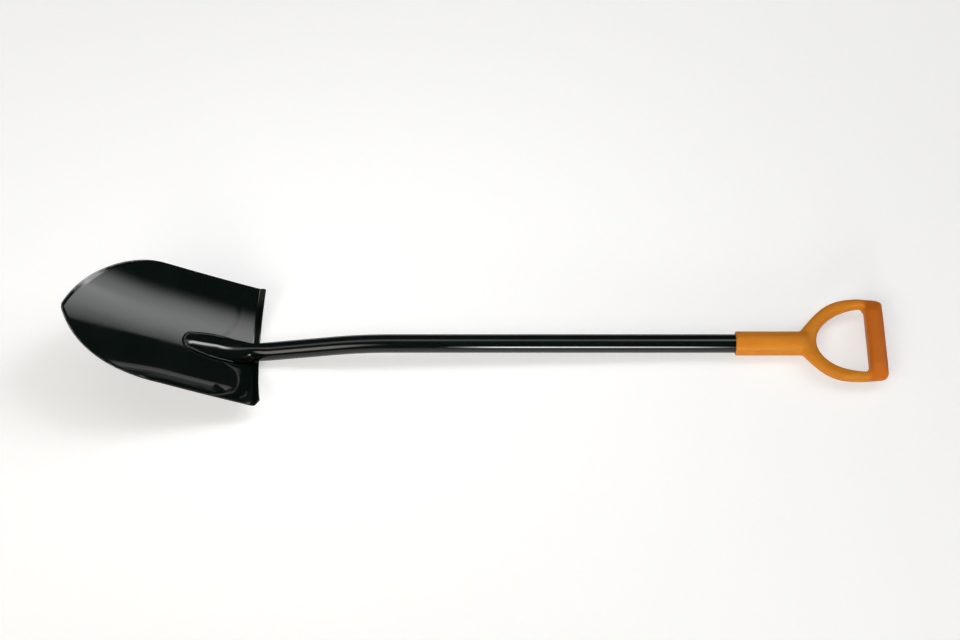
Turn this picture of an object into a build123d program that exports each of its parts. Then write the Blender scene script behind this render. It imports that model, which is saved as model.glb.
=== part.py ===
"""Round point shovel with a welded tubular steel shaft and a moulded D grip.

The shaft frame has the straight part of the shaft on its X axis, the grip towards
+X and the blade's face towards +Z. The blade frame has its origin on the blade's
face at the heel, the tip towards -X and the face's normal towards +Z. The finished
shovel is laid on its back, on the heel and the end of the sleeve.
"""
import os
from math import asin, atan2, cos, degrees, pi, radians, sin, sqrt, tan

from build123d import *

# Shaft tube
TUBE_DIAMETER = 26.9
TUBE_WALL = 1.5
SHAFT_TOP = 449.0          # end of the tube inside the grip
CRANK_X = -169.4           # where the lines of the shaft and the neck meet
CRANK_ANGLE = 9.9
CRANK_RADIUS = 480.0

# Blade
HEEL_TO_CRANK = 160.2      # along the shaft
HEEL_DROP = 39.7           # from the line of the shaft down to the blade's face
BLADE_LIFT = 30.8          # angle between the blade and the line of the shaft
BLADE_LENGTH = 292.0
BLADE_WIDTH = 192.6
BLADE_THICKNESS = 2.0
DISH_RADIUS = 155.0        # across the blade
VALLEY_SAG = 2.5           # along the blade
POINT_LENGTH = 134.7       # the part that narrows to the tip
TIP_RADIUS = 12.0

# Tread, folded forward along the shoulder
HEEL_LEAN = 16.6           # of the shoulder's plane towards the tip
TREAD_ANGLE = 60.0
TREAD_DEPTH = 10.5
TREAD_BEND = 4.0
TREAD_CORNER = 4.0
BLANK_SPARE = 6.0          # angle of the dished sheet beyond each trimmed side
NOTCH_GAP = 0.5            # between the tread and the tube that passes through it

# End of the tube, bent and pressed flat on the blade's face
CROWN_RADIUS = 92.0        # of the bend's upper line
FOOT_RADIUS = 30.0         # of the bend's lower line
NOSE_LENGTH = 105.0        # from the heel
NOSE_WIDTH = 34.0          # where it is widest
NOSE_SLOPE = 9.0           # of its upper line down towards the tip
NOSE_END_HEIGHT = 5.0      # where its rounded end begins
NOSE_END_WIDTH = 23.0      # in the same place
NOSE_ROUND = 11.0          # length of the rounded end
NOSE_CLOSED = 15.0         # length that is pressed shut
NOSE_SEAT = 0.3            # between the tube and the blade
BEND_STEPS = 6
WELD_SKIPPED_STEPS = 3     # of the bend, above the bead along the nose
TAPER_SHARES = (0.35, 0.7, 1)                # sections along the flat part
ROUND_SHARES = (0.4, 0.7, 0.88, 0.97)        # sections along the rounded end
TAPER_POWER = 1.5
NOSE_TIP_SHARE = 0.35      # of the nose's height, left at its very end

# Welds
NOSE_WELD_RADIUS = 3.0
WELD_SEAT = 0.1            # between the bead and the blade
WELD_TRIM = 12.0           # depth that is cut away from a bead under the face
SHOULDER_WELD_RADIUS = 3.6

# D grip
SLEEVE_DIAMETER = 34.6
SLEEVE_LENGTH = 91.5
SLEEVE_CLEARANCE = 0.1
SLEEVE_STOP = 6.5          # from the end of the bore to the end of the sleeve
SLEEVE_END_ROUNDING = 1.5
LOOP_LENGTH = 121.4
LOOP_WIDTH = 131.0
LOOP_WIDEST = 86.0         # from the end of the sleeve to the loop's widest place
LOOP_END_WIDTH = 127.0
LOOP_CORNER = 7.0
LOOP_FOOT = 2.5            # how far the arms run back into the sleeve
LOOP_FOOT_WIDTH = 24.0
LOOP_FLARE = 51.0          # angle at which they leave it
LOOP_FLARE_PULL = 1.6      # how firmly the outline holds to that angle
LOOP_WIDEST_PULL = 1.25    # and to the shaft's direction at its widest place
ARM_THICKNESS = 17.0
ARM_ROUNDING = 6.0
OPENING_LENGTH = 70.6
ARM_WIDTH = 10.5           # across, where they meet the crossbar
OPENING_CORNER = 7.5
CROSSBAR_DEPTH = 26.4
CROSSBAR_THICKNESS = 26.0
CROSSBAR_SWELL = 1.6
CROSSBAR_PROUD = 1.6       # beyond the flat of the loop, inside and outside
CROSSBAR_END_ROUNDING = 5.0

# Grip screw
SCREW_DIAMETER = 4.2
SCREW_LENGTH = 14.0
SCREW_HEAD_DIAMETER = 8.4
SCREW_HEAD_HEIGHT = 2.4
SCREW_SUNK = 0.4
SCREW_CLEARANCE = 0.05
SCREW_MOUTH = 1.6          # length of the straight mouth over the screw's head
SCREW_FROM_MOUTH = 55.0
DRIVE_WIDTH = 4.2
DRIVE_SLOT = 1.0
DRIVE_DEPTH = 1.6

# Rest, on the heel and the end of the sleeve
MAX_TILT = 6.0
TILT_HALVINGS = 24
WIDTH_HALVINGS = 40

TUBE_RADIUS = TUBE_DIAMETER / 2
SLEEVE_RADIUS = SLEEVE_DIAMETER / 2
BORE_RADIUS = TUBE_RADIUS + SLEEVE_CLEARANCE
SLEEVE_END = SHAFT_TOP + SLEEVE_STOP
SLEEVE_MOUTH = SLEEVE_END - SLEEVE_LENGTH
GRIP_END = SLEEVE_END + LOOP_LENGTH
CROSSBAR_X = GRIP_END - CROSSBAR_DEPTH / 2
OPENING_WIDTH = LOOP_END_WIDTH - 2 * ARM_WIDTH
LOOP_RISE = SLEEVE_RADIUS - ARM_THICKNESS / 2
SCREW_X = SLEEVE_MOUTH + SCREW_FROM_MOUTH
NECK_TURN = BLADE_LIFT + CRANK_ANGLE
ROUND_X = -(NOSE_LENGTH - NOSE_ROUND)
DISH_HALF_ANGLE = degrees(asin(BLADE_WIDTH / 2 / DISH_RADIUS))

BLADE_FRAME = Plane(
    origin=(CRANK_X - HEEL_TO_CRANK, 0, -HEEL_DROP),
    x_dir=(cos(radians(BLADE_LIFT)), 0, -sin(radians(BLADE_LIFT))),
    z_dir=(sin(radians(BLADE_LIFT)), 0, cos(radians(BLADE_LIFT))),
)
DISH_AXIS = Axis((0, 0, DISH_RADIUS), (1, 0, 0))


def valley_height(x):
    """Height of the blade's face along its middle line, in the blade frame."""
    share = min(max(-x / BLADE_LENGTH, 0), 1)
    return -4 * VALLEY_SAG * share * (1 - share)


def face_height(x, y):
    """Height of the blade's face at any place, in the blade frame."""
    across = DISH_RADIUS - valley_height(x)
    return DISH_RADIUS - sqrt(across**2 - y**2)


# Blade

def sheet_side(depth, tread):
    """One side of the lengthwise section, so deep under the face."""
    slope = atan2(4 * VALLEY_SAG, BLADE_LENGTH)
    shift = depth * sin(slope)
    drop = depth * cos(slope)
    side = Bezier(
        (-BLADE_LENGTH - shift, -drop),
        (-BLADE_LENGTH / 2, -2 * VALLEY_SAG - depth),
        (shift, -drop),
    )
    if not tread:
        return Curve() + side
    fold = JernArc(side @ 1, side % 1, TREAD_BEND + depth, TREAD_ANGLE)
    strip = PolarLine(fold @ 1, TREAD_DEPTH + BLADE_THICKNESS, direction=fold % 1)
    return Curve() + [side, fold, strip]


def sheet_profile(thickness, tread=True):
    """Lengthwise section of the blade, with its upper side on the blade's face."""
    face = sheet_side(0, tread)
    back = sheet_side(thickness, tread)
    ends = [Line(face @ 0, back @ 0), Line(face @ 1, back @ 1)]
    return Plane.XZ * make_face(Curve() + face + back + ends)


def dished(profile, half_angle):
    """The section, swung across the blade about the axis of its dish."""
    return revolve(profile.rotate(DISH_AXIS, -half_angle), DISH_AXIS, 2 * half_angle)


def leaned(x, z):
    """Where the shoulder's lean brings a place that is so high over the blade frame."""
    return x - z * tan(radians(HEEL_LEAN))


def tread_edge():
    """Middle and corner of the tread's free edge in plan: x and x, y."""
    fold = radians(TREAD_ANGLE)
    reach = TREAD_BEND * sin(fold) + TREAD_DEPTH * cos(fold)
    rise = TREAD_BEND * (1 - cos(fold)) + TREAD_DEPTH * sin(fold)
    half = BLADE_WIDTH / 2
    corner_rise = DISH_RADIUS - sqrt((DISH_RADIUS - rise)**2 - half**2)
    return leaned(reach, rise), leaned(reach, corner_rise), half


def blade_outline():
    edge_x, corner_x, half = tread_edge()
    shoulder = -(BLADE_LENGTH - POINT_LENGTH)
    flank = (POINT_LENGTH**2 + half**2) / (2 * half)
    turn = asin(POINT_LENGTH / flank) / 2
    bulge_x = shoulder - flank * sin(turn)
    bulge_y = half - flank * (1 - cos(turn))
    sides = []
    for side in (1, -1):
        tip_arc = ThreePointArc((shoulder, side * half), (bulge_x, side * bulge_y), (-BLADE_LENGTH, 0))
        sides += [Line((corner_x, side * half), (shoulder, side * half)), tip_arc]
    edge = ThreePointArc((corner_x, -half), (edge_x, 0), (corner_x, half))
    outline = make_face(Curve() + sides + [edge])
    outline = fillet(outline.vertices().sort_by(Axis.X)[0], TIP_RADIUS)
    return fillet(outline.vertices().sort_by(Axis.X)[-2:], TREAD_CORNER)


def make_blade():
    lean = Matrix([[1, 0, -tan(radians(HEEL_LEAN)), 0], [0, 1, 0, 0], [0, 0, 1, 0]])
    sheet = dished(sheet_profile(BLADE_THICKNESS), DISH_HALF_ANGLE + BLANK_SPARE)
    sheet = sheet.transform_geometry(lean)
    stamp = extrude(blade_outline(), DISH_RADIUS, both=True)
    behind_heel = Pos(X=BLADE_LENGTH / 2) * Box(BLADE_LENGTH, BLADE_WIDTH, BLADE_LENGTH)
    return (sheet & stamp) - (pressed_end(NOTCH_GAP) & behind_heel)


# Shaft tube

def ellipse_half_width(half_height, girth):
    """Half width of the ellipse with this half height and girth."""
    low, high = 0.0, girth / 2
    for _ in range(WIDTH_HALVINGS):
        wide = (low + high) / 2
        around = pi * (3 * (wide + half_height)
                       - sqrt((3 * wide + half_height) * (wide + 3 * half_height)))
        if around < girth:
            low = wide
        else:
            high = wide
    return low


def neck_line_height(x):
    """Height of the neck's centre line over the blade frame's X axis."""
    corner = BLADE_FRAME.to_local_coords(Vector(CRANK_X, 0, 0))
    return corner.Z + (x - corner.X) * tan(radians(NECK_TURN))


def nose_top(x):
    """Height of the nose's upper line over the blade frame's X axis."""
    return NOSE_END_HEIGHT + (x - ROUND_X) * tan(radians(NOSE_SLOPE))


def bend_lines():
    """Upper and lower line of the tube's bend, down to where it is fully pressed."""
    turn, slope = radians(NECK_TURN), radians(NOSE_SLOPE)
    half = TUBE_RADIUS / cos(turn)
    neck = neck_line_height(0) - NOSE_SEAT
    upper_corner = (nose_top(0) - half - neck) / (tan(turn) - tan(slope))
    lower_corner = (half - neck) / tan(turn)
    reach = CROWN_RADIUS * tan((turn - slope) / 2)
    corner = Vector(upper_corner, 0, nose_top(upper_corner))
    start = corner + Vector(cos(turn), 0, sin(turn)) * reach
    flat = corner - Vector(cos(slope), 0, sin(slope)) * reach
    middle = (turn + slope) / 2
    swing = Vector(sin(middle) - sin(slope), 0, cos(slope) - cos(middle)) * CROWN_RADIUS
    across = Vector(sin(turn), 0, -cos(turn)) * TUBE_DIAMETER
    upper = ThreePointArc(start, flat + swing, flat)
    lower = FilletPolyline(
        start + across, (lower_corner, 0, 0), (flat.X, 0, 0), radius=FOOT_RADIUS
    )
    return upper, lower


def nose_half_width(x, flat_x, flat_half_width):
    """Half width of the flattened end in plan: a slow taper with a rounded end."""
    if x > ROUND_X:
        share = (flat_x - x) / (flat_x - ROUND_X)
        return flat_half_width + share**TAPER_POWER * (NOSE_END_WIDTH / 2 - flat_half_width)
    into_round = min((ROUND_X - x) / NOSE_ROUND, 1)
    return NOSE_END_WIDTH / 2 * sqrt(1 - into_round**2)


def end_stations():
    """Lower point, upper point and half width at each station of the pressed end."""
    upper, lower = bend_lines()
    girth = pi * TUBE_DIAMETER
    stations = []
    for step in range(BEND_STEPS + 1):
        high = upper @ (step / BEND_STEPS)
        low = lower @ (step / BEND_STEPS)
        half_width = min(ellipse_half_width((high - low).length / 2, girth), NOSE_WIDTH / 2)
        stations.append((low, high, half_width))
    flat_x = stations[-1][0].X
    flat_half_width = stations[-1][2]
    places = [flat_x + share * (ROUND_X - flat_x) for share in TAPER_SHARES]
    places += [ROUND_X - share * NOSE_ROUND for share in ROUND_SHARES]
    for x in places:
        half_width = nose_half_width(x, flat_x, flat_half_width)
        fullness = min(half_width / (NOSE_END_WIDTH / 2), 1)
        height = nose_top(x) * (NOSE_TIP_SHARE + (1 - NOSE_TIP_SHARE) * fullness)
        stations.append((Vector(x, 0, 0), Vector(x, 0, height), half_width))
    return stations


def pressed_end(grow):
    """The bent and flattened end, larger all round by grow, in the blade frame."""
    sections = []
    for low, high, half_width in end_stations():
        if grow < 0 and low.X < -(NOSE_LENGTH - NOSE_CLOSED):
            continue
        seat = NOSE_SEAT + valley_height((low.X + high.X) / 2)
        low = low + Vector(0, 0, seat)
        high = high + Vector(0, 0, seat)
        spine = (high - low).normalized()
        plane = Plane(origin=(low + high) / 2, x_dir=(0, 1, 0), z_dir=spine.cross(Vector(0, 1, 0)))
        half_height = (high - low).length / 2
        sections.append(plane * Ellipse(half_width + grow, half_height + grow))
    return loft(sections)


def make_shaft_tube():
    low, high, _ = end_stations()[0]
    lift = Vector(0, 0, NOSE_SEAT)
    neck_end = BLADE_FRAME.from_local_coords((low + high) / 2 + lift)
    corner = Vector(CRANK_X, 0, 0)
    top = Vector(SHAFT_TOP, 0, 0)
    path = FilletPolyline(top, corner, neck_end, radius=CRANK_RADIUS)
    start = Plane(origin=top, x_dir=(0, 1, 0), z_dir=path % 0)
    bodies = []
    for grow in (0, -TUBE_WALL):
        round_part = sweep(start * Circle(TUBE_RADIUS + grow), path).solid()
        pressed_part = (BLADE_FRAME * pressed_end(grow)).solid()
        bodies.append(round_part + pressed_part)
    screw_hole = screw_place() * Cylinder(SCREW_DIAMETER / 2 + SCREW_CLEARANCE, SCREW_LENGTH * 2)
    return bodies[0] - bodies[1] - screw_hole


# Welds

def under_face():
    """Everything close below the blade's face."""
    return dished(sheet_profile(WELD_TRIM, tread=False), DISH_HALF_ANGLE)


def make_nose_weld():
    """A bead laid along the foot of the flattened end, round its nose."""
    stations = end_stations()[WELD_SKIPPED_STEPS:BEND_STEPS + 1]
    one_side = [(low.X, half_width) for low, _, half_width in stations]
    one_side.append((ROUND_X, NOSE_END_WIDTH / 2))
    other_side = [(x, -y) for x, y in reversed(one_side)]
    route = Curve() + Spline(one_side + [(-NOSE_LENGTH, 0)] + other_side)
    rise = face_height(0, one_side[0][1])
    fall = rise - face_height(ROUND_X, NOSE_END_WIDTH / 2)
    slope = degrees(atan2(fall, -ROUND_X))
    path = Pos(Z=rise) * Rot(Y=-slope) * route
    start = Plane(origin=path @ 0, z_dir=path % 0)
    bead = sweep(start * Circle(NOSE_WELD_RADIUS), path)
    return BLADE_FRAME * (bead - pressed_end(0) - Pos(Z=WELD_SEAT) * under_face())


def make_shoulder_welds(blade, shaft_tube):
    """A bead on each side where the tube passes the tread."""
    fold = radians(TREAD_ANGLE)
    low_x, low_z = TREAD_BEND * sin(fold), TREAD_BEND * (1 - cos(fold))
    high_x, high_z = low_x + TREAD_DEPTH * cos(fold), low_z + TREAD_DEPTH * sin(fold)
    low = Vector(leaned(low_x, low_z), 0, low_z)
    high = Vector(leaned(high_x, high_z), 0, high_z)
    welds = []
    for side in (-1, 1):
        ends = []
        for place in (low, high):
            away = (neck_line_height(place.X) - place.Z) * cos(radians(NECK_TURN))
            y = side * (sqrt(TUBE_RADIUS**2 - away**2) + NOTCH_GAP)
            ends.append(Vector(place.X, y, place.Z))
        path = Line(ends[0], ends[1])
        rod = sweep(Plane(origin=path @ 0, z_dir=path % 0) * Circle(SHOULDER_WELD_RADIUS), path)
        bead = BLADE_FRAME * (rod - under_face()) - blade - shaft_tube
        welds.append(bead.solids().sort_by(SortBy.VOLUME)[-1])
    return welds


# D grip

def half_oval(centre_x, length, width):
    """The left half of an ellipse, from its upper to its lower end."""
    return EllipticalCenterArc((centre_x, 0), length, width / 2, 90, arc_size=180)


def loop_outline():
    """Two arms that flare out from the sleeve's sides and come round to the crossbar."""
    foot = SLEEVE_END - LOOP_FOOT
    widest = SLEEVE_END + LOOP_WIDEST
    flat_end = GRIP_END - CROSSBAR_PROUD
    flare = radians(LOOP_FLARE)
    arms = []
    for side in (1, -1):
        arms.append(Spline(
            (foot, side * LOOP_FOOT_WIDTH / 2), (widest, side * LOOP_WIDTH / 2),
            tangents=[(cos(flare), side * sin(flare)), (1, 0)],
            tangent_scalars=[LOOP_FLARE_PULL, LOOP_WIDEST_PULL],
        ))
        arms.append(Line((widest, side * LOOP_WIDTH / 2), (flat_end, side * LOOP_END_WIDTH / 2)))
    ends = [
        Line((foot, -LOOP_FOOT_WIDTH / 2), (foot, LOOP_FOOT_WIDTH / 2)),
        Line((flat_end, -LOOP_END_WIDTH / 2), (flat_end, LOOP_END_WIDTH / 2)),
    ]
    outline = make_face(Curve() + arms + ends)
    return fillet(outline.vertices().sort_by(Axis.X)[-2:], LOOP_CORNER)


def loop_opening():
    inner_x = GRIP_END - CROSSBAR_DEPTH + CROSSBAR_PROUD
    half = OPENING_WIDTH / 2
    curve = half_oval(inner_x, OPENING_LENGTH + CROSSBAR_PROUD, OPENING_WIDTH)
    opening = make_face(curve + Line((inner_x, -half), (inner_x, half)))
    return fillet(opening.vertices(), OPENING_CORNER)


def make_crossbar():
    """A barrel across the ends of the arms, a little thicker in the middle."""
    half = (LOOP_END_WIDTH - ARM_ROUNDING) / 2
    sections = []
    for y in (-half, 0, half):
        swell = CROSSBAR_SWELL * (1 - (y / half) ** 2) / 2
        plane = Plane(origin=(CROSSBAR_X, y, LOOP_RISE), x_dir=(1, 0, 0), z_dir=(0, 1, 0))
        sections.append(plane * Ellipse(CROSSBAR_DEPTH / 2, CROSSBAR_THICKNESS / 2 + swell))
    bar = loft(sections)
    rims = bar.edges().sort_by(Axis.Y)
    return fillet([rims[0], rims[-1]], CROSSBAR_END_ROUNDING)


def make_d_grip():
    loop = extrude(loop_outline() - loop_opening(), ARM_THICKNESS / 2, both=True)
    loop = Pos(Z=LOOP_RISE) * loop
    rims = loop.edges().filter_by_position(
        Axis.Z, LOOP_RISE + ARM_THICKNESS / 2, LOOP_RISE + ARM_THICKNESS / 2
    ) + loop.edges().filter_by_position(
        Axis.Z, LOOP_RISE - ARM_THICKNESS / 2, LOOP_RISE - ARM_THICKNESS / 2
    )
    loop = fillet(rims, ARM_ROUNDING)
    along = Plane(origin=(SLEEVE_MOUTH, 0, 0), z_dir=(1, 0, 0))
    sleeve = along * extrude(Circle(SLEEVE_RADIUS), SLEEVE_LENGTH)
    end_edge = sleeve.edges().filter_by(GeomType.CIRCLE).sort_by(Axis.X)[-1]
    sleeve = fillet(end_edge, SLEEVE_END_ROUNDING)
    bore = along * extrude(Circle(BORE_RADIUS), SLEEVE_LENGTH - SLEEVE_STOP)
    return sleeve + loop + make_crossbar() - bore - screw_recess()


# Grip screw

def screw_place():
    """On the back of the sleeve: its Z axis points out of the sleeve."""
    return Plane(origin=(SCREW_X, 0, -SLEEVE_RADIUS), x_dir=(1, 0, 0), z_dir=(0, 0, -1))


def screw_body(grow):
    """Countersunk screw from just inside the tube to just under the sleeve's skin."""
    top = -SCREW_SUNK
    cone_foot = top - SCREW_HEAD_HEIGHT
    head = SCREW_HEAD_DIAMETER / 2 + grow
    shank = SCREW_DIAMETER / 2 + grow
    side = Polyline(
        (0, -SCREW_LENGTH), (shank, -SCREW_LENGTH), (shank, cone_foot), (head, top), (0, top),
        close=True,
    )
    return revolve(Plane.XZ * make_face(side), Axis.Z)


def screw_recess():
    mouth = Cylinder(SCREW_HEAD_DIAMETER / 2 + SCREW_CLEARANCE, SCREW_MOUTH)
    return screw_place() * (screw_body(SCREW_CLEARANCE) + Pos(Z=SCREW_SUNK) * mouth)


def make_grip_screw():
    screw = screw_body(0)
    drive = Pos(Z=-SCREW_SUNK) * (
        Box(DRIVE_WIDTH, DRIVE_SLOT, 2 * DRIVE_DEPTH) + Box(DRIVE_SLOT, DRIVE_WIDTH, 2 * DRIVE_DEPTH)
    )
    return screw_place() * (screw - drive)


# Assembly

def lowest(piece, tilt):
    return piece.rotate(Axis.Y, tilt).bounding_box().min.Z


def rest_tilt(blade, d_grip):
    """The turn about Y that lays the heel and the grip on one floor."""
    low, high = 0.0, MAX_TILT
    for _ in range(TILT_HALVINGS):
        tilt = (low + high) / 2
        if lowest(d_grip, tilt) > lowest(blade, tilt):
            low = tilt
        else:
            high = tilt
    return tilt


def main():
    blade = BLADE_FRAME * make_blade()
    shaft_tube = make_shaft_tube()
    d_grip = make_d_grip()
    pieces = {
        "blade": blade.solids(),
        "shaft_tube": shaft_tube.solids(),
        "nose_weld": make_nose_weld().solids(),
        "shoulder_welds": make_shoulder_welds(blade, shaft_tube),
        "d_grip": d_grip.solids(),
        "grip_screw": make_grip_screw().solids(),
    }
    tilt = rest_tilt(blade, d_grip)
    laid = {name: [solid.rotate(Axis.Y, tilt) for solid in solids] for name, solids in pieces.items()}
    box = Compound([solid for solids in laid.values() for solid in solids]).bounding_box()
    place = Pos(-box.center().X, -box.center().Y, -box.min.Z)
    os.makedirs("parts", exist_ok=True)
    for name, solids in laid.items():
        export_step(place * Compound(solids), f"parts/{name}.step")
    print(f"tilt {tilt:.3f} degrees, box {box.size}")


main()
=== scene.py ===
import math

import bmesh
import bpy
from mathutils import Matrix, Vector


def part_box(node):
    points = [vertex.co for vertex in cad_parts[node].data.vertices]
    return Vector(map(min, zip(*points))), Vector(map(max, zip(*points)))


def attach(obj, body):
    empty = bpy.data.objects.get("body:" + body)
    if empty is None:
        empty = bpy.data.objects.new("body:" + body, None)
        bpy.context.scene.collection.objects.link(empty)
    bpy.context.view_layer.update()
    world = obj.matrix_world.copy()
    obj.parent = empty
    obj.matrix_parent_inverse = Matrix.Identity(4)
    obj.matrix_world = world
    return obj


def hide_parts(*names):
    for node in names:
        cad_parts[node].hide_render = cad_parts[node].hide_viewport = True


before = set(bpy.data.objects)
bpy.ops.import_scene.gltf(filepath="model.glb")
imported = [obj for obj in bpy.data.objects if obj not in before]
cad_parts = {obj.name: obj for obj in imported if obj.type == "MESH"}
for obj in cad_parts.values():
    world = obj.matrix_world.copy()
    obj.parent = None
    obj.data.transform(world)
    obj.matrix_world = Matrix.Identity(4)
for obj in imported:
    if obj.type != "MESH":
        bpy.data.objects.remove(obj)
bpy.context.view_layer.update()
mm = 0.001


# A number flowing through a node tree: arithmetic on it adds Math nodes.
class Flow:
    def __init__(self, tree, socket):
        self.tree = tree
        self.socket = socket

    def maths(self, operation, *others):
        node = self.tree.nodes.new("ShaderNodeMath")
        node.operation = operation
        for slot, given in zip(node.inputs, (self,) + others):
            if isinstance(given, Flow):
                self.tree.links.new(given.socket, slot)
            else:
                slot.default_value = given
        return Flow(self.tree, node.outputs[0])

    def __add__(self, other):
        return self.maths("ADD", other)

    def __sub__(self, other):
        return self.maths("SUBTRACT", other)

    def __mul__(self, other):
        return self.maths("MULTIPLY", other)

    def __truediv__(self, other):
        return self.maths("DIVIDE", other)

    def power(self, other):
        return self.maths("POWER", other)

    def root(self):
        return self.maths("MAXIMUM", 0.0).maths("SQRT")

    def least(self, other):
        return self.maths("MINIMUM", other)

    def most(self, other):
        return self.maths("MAXIMUM", other)

    def sine(self):
        return self.maths("SINE")

    def cosine(self):
        return self.maths("COSINE")

    def size(self):
        return self.maths("ABSOLUTE")

    def above(self, other):
        return self.maths("GREATER_THAN", other)

    # 0 at start, 1 at end, held outside them
    def between(self, start, end, smooth=False):
        node = self.tree.nodes.new("ShaderNodeMapRange")
        node.interpolation_type = "SMOOTHSTEP" if smooth else "LINEAR"
        for slot, given in zip(node.inputs, (self, start, end, 0.0, 1.0)):
            if isinstance(given, Flow):
                self.tree.links.new(given.socket, slot)
            else:
                slot.default_value = given
        return Flow(self.tree, node.outputs[0])


# Rest and frames: the shovel is drawn with its shaft level along X, in millimetres, then laid down.
rest = {
    "tilt": math.radians(1.8383),
    "sleeveMouth": 364.0,
    "sleeveRadius": 17.3,
    "heel": (-329.6, 0.0, -39.7),
    "bladeLift": math.radians(30.8),
}
gripLow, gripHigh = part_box("d_grip")
cosTilt, sinTilt = math.cos(rest["tilt"]), math.sin(rest["tilt"])
restX = gripLow.x - (rest["sleeveMouth"] * cosTilt - rest["sleeveRadius"] * sinTilt) * mm
restZ = gripHigh.z - (rest["sleeveRadius"] * cosTilt - rest["sleeveMouth"] * sinTilt) * mm
layDown = (Matrix.Translation((restX, 0, restZ)) @ Matrix.Rotation(rest["tilt"], 4, "Y")
           @ Matrix.Scale(mm, 4))
bladeFrame = Matrix.Translation(rest["heel"]) @ Matrix.Rotation(rest["bladeLift"], 4, "Y")
print("laid back at", round(restX, 5), round(restZ, 5))


def addObject(name, data):
    piece = bpy.data.objects.new(name, data)
    bpy.context.scene.collection.objects.link(piece)
    return piece


def smoothMesh(mesh):
    mesh.polygons.foreach_set("use_smooth", [True] * len(mesh.polygons))
    mesh.update()


# Closed skin through rings of points, with both ends filled.
def skinRings(name, rings):
    around = len(rings[0])
    points = [point for ring in rings for point in ring]
    faces = []
    for row in range(len(rings) - 1):
        for step in range(around):
            follow = (step + 1) % around
            low, high = row * around, (row + 1) * around
            faces.append((low + step, high + step, high + follow, low + follow))
    faces.append(tuple(range(around)))
    last = (len(rings) - 1) * around
    faces.append(tuple(last + step for step in reversed(range(around))))
    mesh = bpy.data.meshes.new(name)
    mesh.from_pydata(points, [], faces)
    smoothMesh(mesh)
    return mesh


def outwards(mesh):
    work = bmesh.new()
    work.from_mesh(mesh)
    bmesh.ops.recalc_face_normals(work, faces=work.faces)
    work.to_mesh(mesh)
    work.free()


# Turns a live modifier's result into the piece's own plain mesh.
def bake(piece, name):
    seen = piece.evaluated_get(bpy.context.evaluated_depsgraph_get())
    mesh = bpy.data.meshes.new_from_object(seen)
    mesh.name = name
    piece.modifiers.clear()
    old = piece.data
    baked = addObject(name, mesh)
    bpy.data.objects.remove(piece)
    if isinstance(old, bpy.types.Mesh):
        bpy.data.meshes.remove(old)
    return baked


def addInput(tree, name, kind, value):
    socket = tree.interface.new_socket(name, in_out="INPUT", socket_type=kind)
    socket.default_value = value


def setInputs(modifier, values):
    for socket in modifier.node_group.interface.items_tree:
        if socket.item_type == "SOCKET" and socket.in_out == "INPUT" and socket.name in values:
            modifier[socket.identifier] = values[socket.name]


# Camera

camera = {
    "lens": 80.55,
    "distance": 3067.3,
    "lookAt": (0.0, 29.06, 16.78),
    "lean": math.radians(30.0),
}


def setCamera():
    view = Vector((0, -math.sin(camera["lean"]), math.cos(camera["lean"])))
    eye = Vector(camera["lookAt"]) + view * camera["distance"]
    data = bpy.data.cameras.new("camera")
    data.lens = camera["lens"]
    data.sensor_width = 36.0
    data.clip_end = 100.0
    body = addObject("camera", data)
    turn = Matrix.Rotation(rest["tilt"], 4, "Y") @ Matrix.Rotation(camera["lean"], 4, "X")
    body.matrix_world = Matrix.Translation(layDown @ eye) @ turn
    bpy.context.scene.camera = body


setCamera()
bpy.context.scene.view_settings.view_transform = "Standard"
print("camera set")


# Shared effects, each one shader group

def newGroup(name, inputs, outputs):
    tree = bpy.data.node_groups.new(name, "ShaderNodeTree")
    tree.interface.new_socket("Place", in_out="INPUT", socket_type="NodeSocketVector")
    for label, value in inputs.items():
        addInput(tree, label, "NodeSocketFloat", value)
    for label in outputs:
        tree.interface.new_socket(label, in_out="OUTPUT", socket_type="NodeSocketFloat")
    given = tree.nodes.new("NodeGroupInput")
    return tree, given, tree.nodes.new("NodeGroupOutput")


# Noise in the object's own metres; size is the width of one grain.
def grain(tree, place, size, detail=2.0, stretch=None):
    if stretch:
        turned = tree.nodes.new("ShaderNodeMapping")
        turned.inputs["Scale"].default_value = stretch
        tree.links.new(place, turned.inputs["Vector"])
        place = turned.outputs[0]
    noise = tree.nodes.new("ShaderNodeTexNoise")
    noise.inputs["Detail"].default_value = detail
    tree.links.new(place, noise.inputs["Vector"])
    noise.inputs["Scale"].default_value = 1.0 / size
    return Flow(tree, noise.outputs[0])


# Gloss paint: orange peel, a fine tooth, slow clouds in the gloss and hairline rubs.
def paintSkin():
    inputs = {"Peel": 0.5, "Gloss": 0.06}
    tree, given, out = newGroup("paintSkin", inputs, ("Height", "Roughness", "Cloud"))
    place = given.outputs["Place"]
    peel = grain(tree, place, 0.0042, 1.0) * Flow(tree, given.outputs["Peel"])
    tooth = grain(tree, place, 0.0007, 2.0) * 0.12
    clouds = grain(tree, place, 0.06, 3.0)
    rubs = grain(tree, place, 0.02, 3.0, (1.0, 24.0, 24.0)).between(0.62, 0.72, True)
    specks = grain(tree, place, 0.0016, 1.0).between(0.74, 0.78)
    rough = (Flow(tree, given.outputs["Gloss"]) + clouds.between(0.45, 0.8) * 0.05
             + rubs * 0.05 + specks * 0.15)
    tree.links.new((peel + tooth + specks * 0.25).socket, out.inputs["Height"])
    tree.links.new(rough.socket, out.inputs["Roughness"])
    tree.links.new((clouds.between(0.3, 0.7) * 0.6 + specks * 2.0 + rubs * 0.5).socket, out.inputs["Cloud"])
    return tree


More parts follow.
